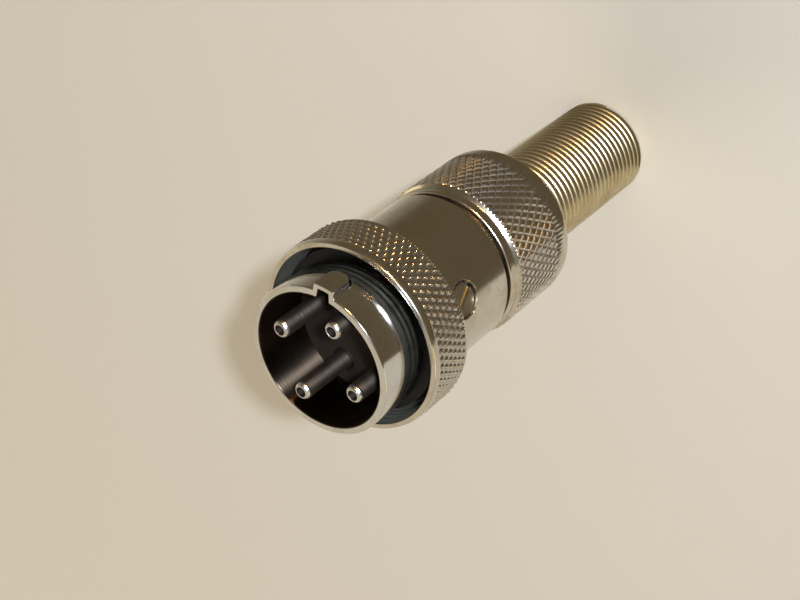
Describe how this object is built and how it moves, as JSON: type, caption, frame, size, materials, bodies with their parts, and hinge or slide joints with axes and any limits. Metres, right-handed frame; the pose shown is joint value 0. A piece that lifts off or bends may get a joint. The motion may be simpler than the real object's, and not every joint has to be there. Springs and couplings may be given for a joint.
{
  "type": "aviation plug connector",
  "caption": "Circular pin connector, cable plug: keyed barrel, knurled screw coupling ring, plain body, knurled clamp nut and bend spring.",
  "frame": {"origin": "centre of the bend spring's ground foot, on the plane that the connector stands on", "axes": "+Z along the connector's axis, out of the pin end; +X through the key on the barrel"},
  "size_m": [0.0222, 0.0222, 0.0575],
  "materials": {
    "bright_plate": "bright nickel plate on drawn brass",
    "nickel_plate": "nickel plate on turned brass",
    "bakelite": "moulded phenolic, near black",
    "contact_plate": "silver plate on brass",
    "screw_plate": "plated steel screw",
    "spring_steel": "plain spring steel",
    "nylon": "moulded nylon",
    "plated_wire": "nickel-plated spring wire with a brassy tone"
  },
  "bodies": {
    "relief": {"bend_spring": "plated_wire", "clamp_washer": "spring_steel"},
    "nut": {"clamp_nut": "nickel_plate"},
    "shell": {"body_shell": "nickel_plate", "barrel": "bright_plate", "insulator": "bakelite", "contact_pin_1": "contact_plate", "contact_pin_2": "contact_plate", "contact_pin_3": "contact_plate", "contact_pin_4": "contact_plate", "insert_screw": "screw_plate", "retaining_clip": "spring_steel", "clamp_ferrule": "nylon"},
    "washer": {"thrust_washer": "spring_steel"},
    "ring": {"coupling_ring": "nickel_plate"}
  },
  "joints": [
    {"name": "nut_turn", "type": "hinge", "parent": "relief", "child": "nut", "pos_m": [0, 0, 0.0285], "axis": [0, 0, -1], "range_deg": [0, 1800]},
    {"name": "shell_lift", "type": "slide", "parent": "relief", "child": "shell", "axis": [0, 0, 1], "range_m": [0, 0.005]},
    {"name": "ring_slide", "type": "slide", "parent": "shell", "child": "washer", "axis": [0, 0, 1], "range_m": [0, 0.0008]},
    {"name": "ring_spin", "type": "hinge", "parent": "washer", "child": "ring", "pos_m": [0, 0, 0.0485], "axis": [0, 0, 1], "continuous": true}
  ],
  "couplings": [
    {"joint": "nut_turn", "follows": "shell_lift", "rad_per_m": 6283.2}
  ]
}
